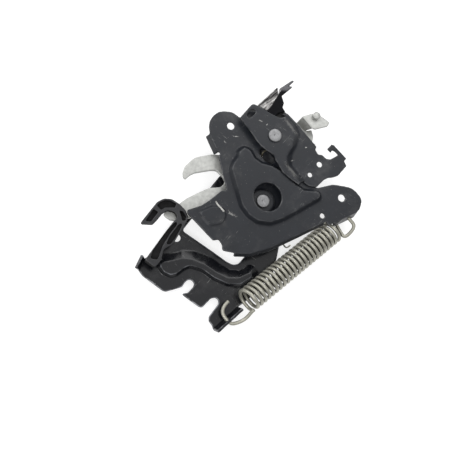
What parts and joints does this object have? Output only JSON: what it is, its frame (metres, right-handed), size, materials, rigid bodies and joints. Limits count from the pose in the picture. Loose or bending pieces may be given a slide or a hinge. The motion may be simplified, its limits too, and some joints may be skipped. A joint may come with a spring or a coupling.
{
  "type": "bonnet latch",
  "caption": "Stamped-steel bonnet latch with a catch fork, a pawl with its release arm, a sprung lift lever and its moulded pull.",
  "frame": {"origin": "on the rear face of the main plate, halfway between the centres of its two bolt holes", "axes": "+Z out of the front face, +X to the side that carries the long arm, +Y toward the release lever"},
  "size_m": [0.1965, 0.222, 0.0337],
  "materials": {
    "coat": "satin black coat on pressed steel",
    "gloss_coat": "glossier black coat on pressed steel",
    "zinc": "zinc plated, matt light grey",
    "rivet_steel": "plain grey steel, satin",
    "bright_steel": "dark steel with bright streaks",
    "spring_steel": "drawn wire, dull grey with a brown tint",
    "moulding": "black moulded plastic",
    "bush": "dark moulded bush",
    "rubber": "black rubber sleeve"
  },
  "bodies": {
    "frame": {"main_plate": "coat", "cover_plate": "coat", "bearing_plate": "coat", "pawl_rivet": "rivet_steel", "fork_rivet": "rivet_steel", "lever_washer": "rivet_steel", "cover_spacer": "rivet_steel", "fork_stop_pin": "rivet_steel", "fork_stop_sleeve": "rubber", "lever_stop_pin": "rivet_steel", "lever_stop_sleeve": "rubber", "tension_spring": "spring_steel", "fork_spring": "spring_steel", "pawl_spring": "spring_steel"},
    "fork": {"fork": "zinc", "fork_bush": "bush"},
    "pawl": {"pawl": "zinc", "pawl_sleeve": "zinc", "release_arm": "zinc", "cable_stud": "zinc", "release_lever": "bright_steel"},
    "lever": {"lift_lever": "gloss_coat", "lever_pull": "moulding", "lever_bush": "bush"}
  },
  "joints": [
    {"name": "fork_turn", "type": "hinge", "parent": "frame", "child": "fork", "pos_m": [-0.0203, -0.0353, 0], "axis": [0, 0, -1], "range_deg": [0, 38], "stiffness_Nm_per_rad": 0.6, "springref_deg": -22.92, "deforming": ["fork_spring"]},
    {"name": "pawl_turn", "type": "hinge", "parent": "frame", "child": "pawl", "pos_m": [-0.0126, 0.02, 0], "axis": [0, 0, 1], "range_deg": [0, 15], "stiffness_Nm_per_rad": 0.5, "springref_deg": -28.65, "deforming": ["pawl_spring"]},
    {"name": "lever_turn", "type": "hinge", "parent": "frame", "child": "lever", "pos_m": [-0.0203, -0.0353, 0], "axis": [0, 0, -1], "range_deg": [0, 22], "stiffness_Nm_per_rad": 6, "springref_deg": -28.65, "deforming": ["tension_spring"]}
  ]
}
